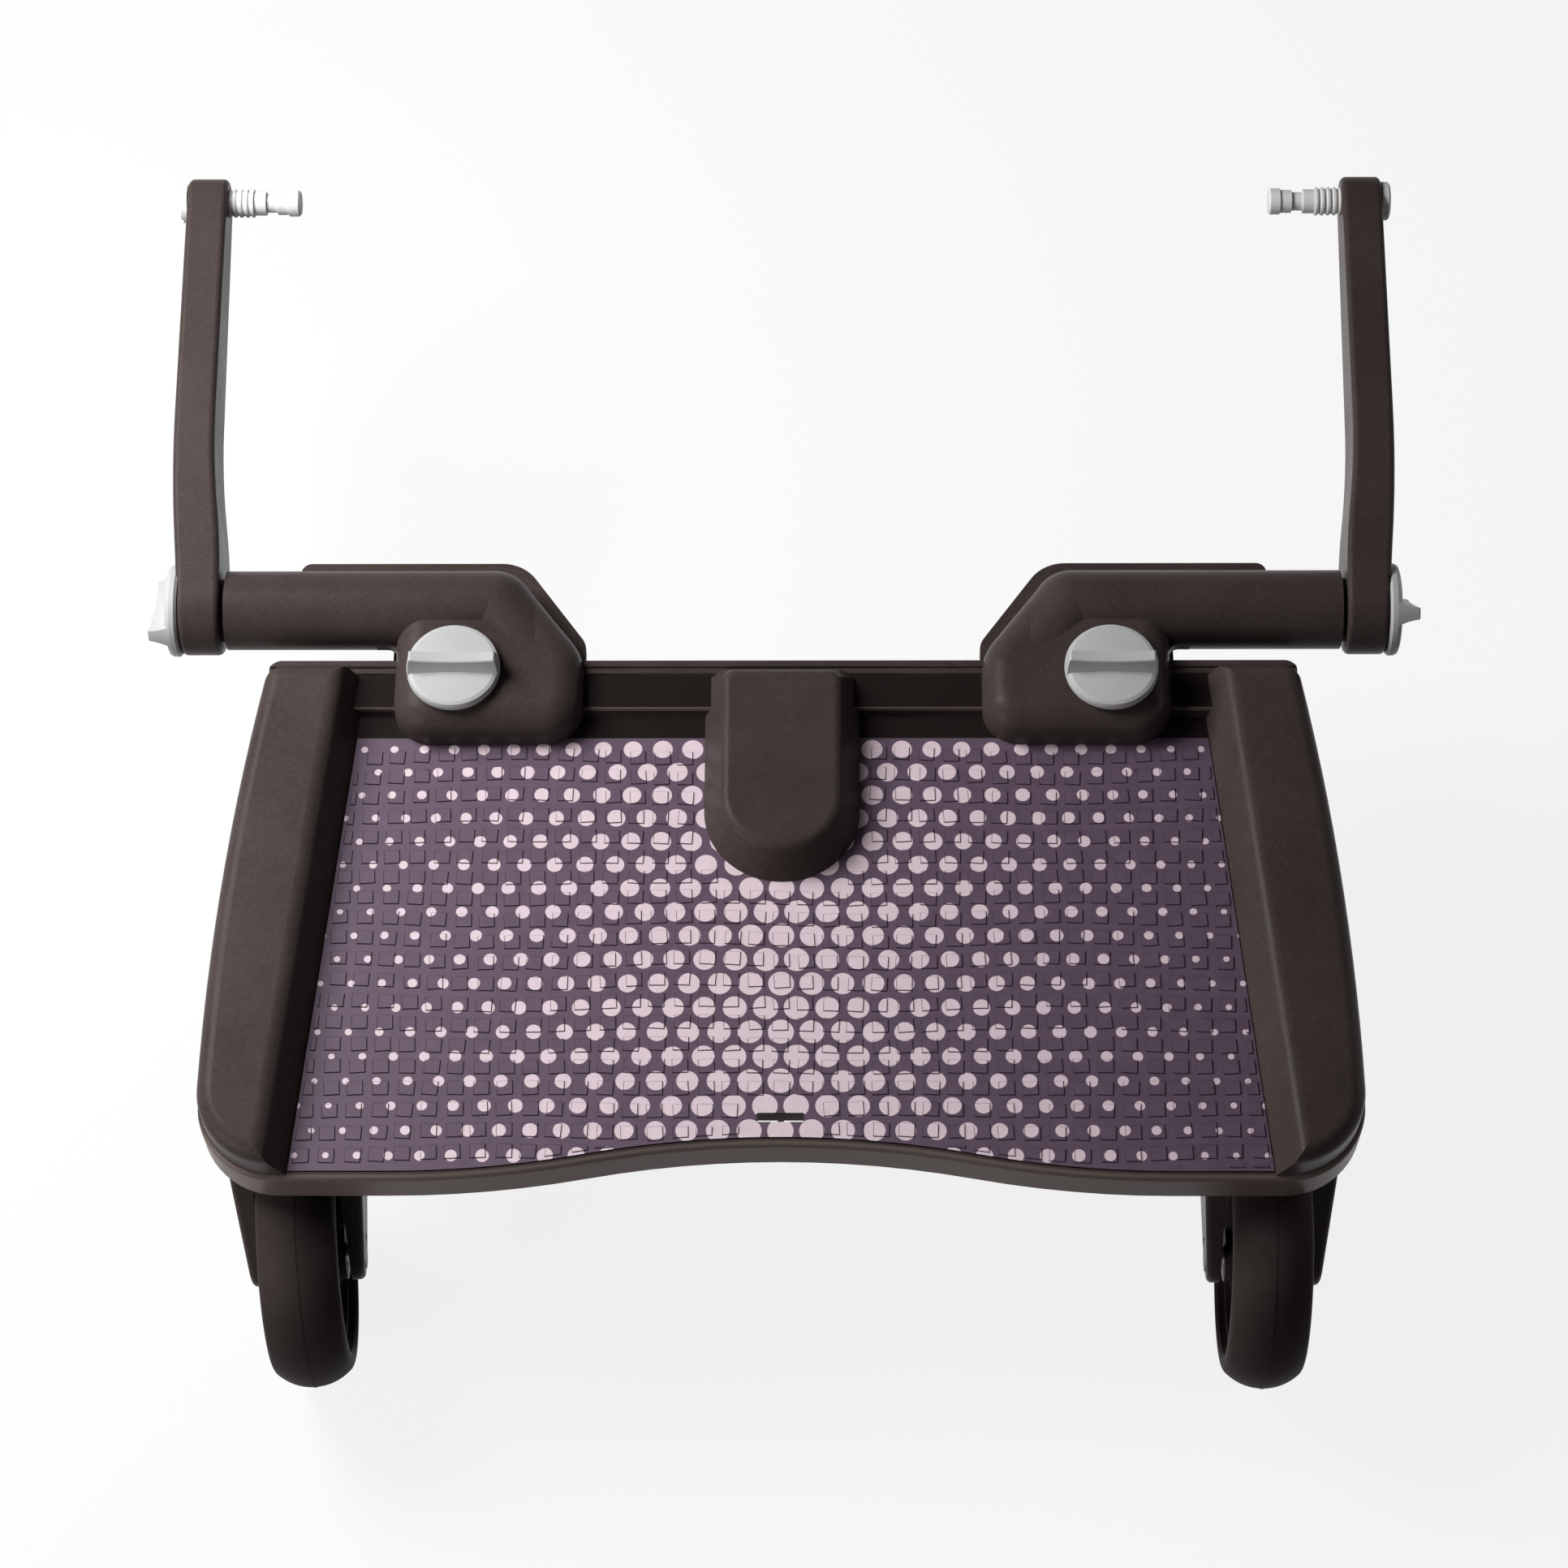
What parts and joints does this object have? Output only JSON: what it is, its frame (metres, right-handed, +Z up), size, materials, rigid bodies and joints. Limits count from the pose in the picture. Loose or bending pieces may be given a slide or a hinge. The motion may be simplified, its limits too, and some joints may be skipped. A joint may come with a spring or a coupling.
{
  "type": "buggy board",
  "caption": "Pushchair ride-on board: a deck with side rails on swivel castors, with sliding clamp holders whose pivoting arms end in stepped connector pins.",
  "frame": {"origin": "on the floor under the middle of the part's box, in its plane of symmetry", "axes": "+X to the standing child's right, +Y towards the pushchair, +Z up"},
  "size_m": [0.4798, 0.4574, 0.1629],
  "materials": {
    "dark_plastic": "fine moulded grain",
    "mat_rubber": "matte, raised tiles and a pale print",
    "grey_plastic": "satin",
    "pin_plastic": "satin",
    "tyre_rubber": "matte",
    "bush_plastic": "plain",
    "washer_rubber": "matte",
    "steel": "zinc plated",
    "brass": "machined"
  },
  "bodies": {
    "board": {"deck_shell": "dark_plastic", "standing_mat": "mat_rubber", "centre_cover": "dark_plastic", "deck_screws": "steel", "side_rail_left": "dark_plastic", "side_rail_right": "dark_plastic", "swivel_bush_left": "bush_plastic", "swivel_bush_right": "bush_plastic"},
    "holder_left": {"arm_holder_left": "dark_plastic", "lower_jaw_left": "dark_plastic", "jaw_screws_left": "steel", "thread_insert_left": "brass", "clamp_pad_left": "washer_rubber", "pivot_nut_left": "brass"},
    "rail_knob_body_left": {"rail_knob_left": "grey_plastic", "rail_stud_left": "steel"},
    "arm_left": {"extension_arm_left": "dark_plastic", "friction_washer_left": "washer_rubber"},
    "arm_knob_body_left": {"arm_knob_left": "grey_plastic", "arm_stud_left": "steel"},
    "pin_left": {"connector_pin_left": "pin_plastic"},
    "castor_left": {"castor_fork_left": "dark_plastic", "castor_stem_left": "steel", "stem_clip_left": "steel", "axle_left": "steel", "axle_caps_left": "dark_plastic"},
    "wheel_left": {"tyre_left": "tyre_rubber", "wheel_hub_left": "dark_plastic", "wheel_bushes_left": "bush_plastic"},
    "holder_right": {"arm_holder_right": "dark_plastic", "lower_jaw_right": "dark_plastic", "jaw_screws_right": "steel", "thread_insert_right": "brass", "clamp_pad_right": "washer_rubber", "pivot_nut_right": "brass"},
    "rail_knob_body_right": {"rail_knob_right": "grey_plastic", "rail_stud_right": "steel"},
    "arm_right": {"extension_arm_right": "dark_plastic", "friction_washer_right": "washer_rubber"},
    "arm_knob_body_right": {"arm_knob_right": "grey_plastic", "arm_stud_right": "steel"},
    "pin_right": {"connector_pin_right": "pin_plastic"},
    "castor_right": {"castor_fork_right": "dark_plastic", "castor_stem_right": "steel", "stem_clip_right": "steel", "axle_right": "steel", "axle_caps_right": "dark_plastic"},
    "wheel_right": {"tyre_right": "tyre_rubber", "wheel_hub_right": "dark_plastic", "wheel_bushes_right": "bush_plastic"}
  },
  "joints": [
    {"name": "holder_slide_left", "type": "slide", "parent": "board", "child": "holder_left", "axis": [1, 0, 0], "range_m": [-0.008, 0.04]},
    {"name": "rail_knob_turn_left", "type": "hinge", "parent": "holder_left", "child": "rail_knob_body_left", "pos_m": [-0.12301, 0.02029, 0.135], "axis": [0, 0, 1], "range_deg": [0, 270]},
    {"name": "arm_pitch_left", "type": "hinge", "parent": "holder_left", "child": "arm_left", "pos_m": [-0.2128, 0.05229, 0.124], "axis": [1, 0, 0], "range_deg": [-45, 70]},
    {"name": "arm_knob_turn_left", "type": "hinge", "parent": "arm_left", "child": "arm_knob_body_left", "pos_m": [-0.2282, 0.05229, 0.124], "axis": [-1, 0, 0], "range_deg": [0, 270]},
    {"name": "pin_turn_left", "type": "hinge", "parent": "arm_left", "child": "pin_left", "pos_m": [-0.2178, 0.21921, 0.15343], "axis": [-1, 0, 0], "continuous": true},
    {"name": "castor_swivel_left", "type": "hinge", "parent": "board", "child": "castor_left", "pos_m": [-0.179, -0.14171, 0.0967], "axis": [0, 0, 1], "continuous": true},
    {"name": "wheel_spin_left", "type": "hinge", "parent": "castor_left", "child": "wheel_left", "pos_m": [-0.17602, -0.1796, 0.049], "axis": [0.9969, 0.0785, 0], "continuous": true},
    {"name": "holder_slide_right", "type": "slide", "parent": "board", "child": "holder_right", "axis": [1, 0, 0], "range_m": [-0.04, 0.008]},
    {"name": "rail_knob_turn_right", "type": "hinge", "parent": "holder_right", "child": "rail_knob_body_right", "pos_m": [0.12301, 0.02029, 0.135], "axis": [0, 0, 1], "range_deg": [0, 270]},
    {"name": "arm_pitch_right", "type": "hinge", "parent": "holder_right", "child": "arm_right", "pos_m": [0.2128, 0.05229, 0.124], "axis": [1, 0, 0], "range_deg": [-45, 70]},
    {"name": "arm_knob_turn_right", "type": "hinge", "parent": "arm_right", "child": "arm_knob_body_right", "pos_m": [0.2282, 0.05229, 0.124], "axis": [1, 0, 0], "range_deg": [0, 270]},
    {"name": "pin_turn_right", "type": "hinge", "parent": "arm_right", "child": "pin_right", "pos_m": [0.2178, 0.21921, 0.15343], "axis": [1, 0, 0], "continuous": true},
    {"name": "castor_swivel_right", "type": "hinge", "parent": "board", "child": "castor_right", "pos_m": [0.179, -0.14171, 0.0967], "axis": [0, 0, 1], "continuous": true},
    {"name": "wheel_spin_right", "type": "hinge", "parent": "castor_right", "child": "wheel_right", "pos_m": [0.178, -0.1797, 0.049], "axis": [0.9997, -0.0262, 0], "continuous": true}
  ]
}
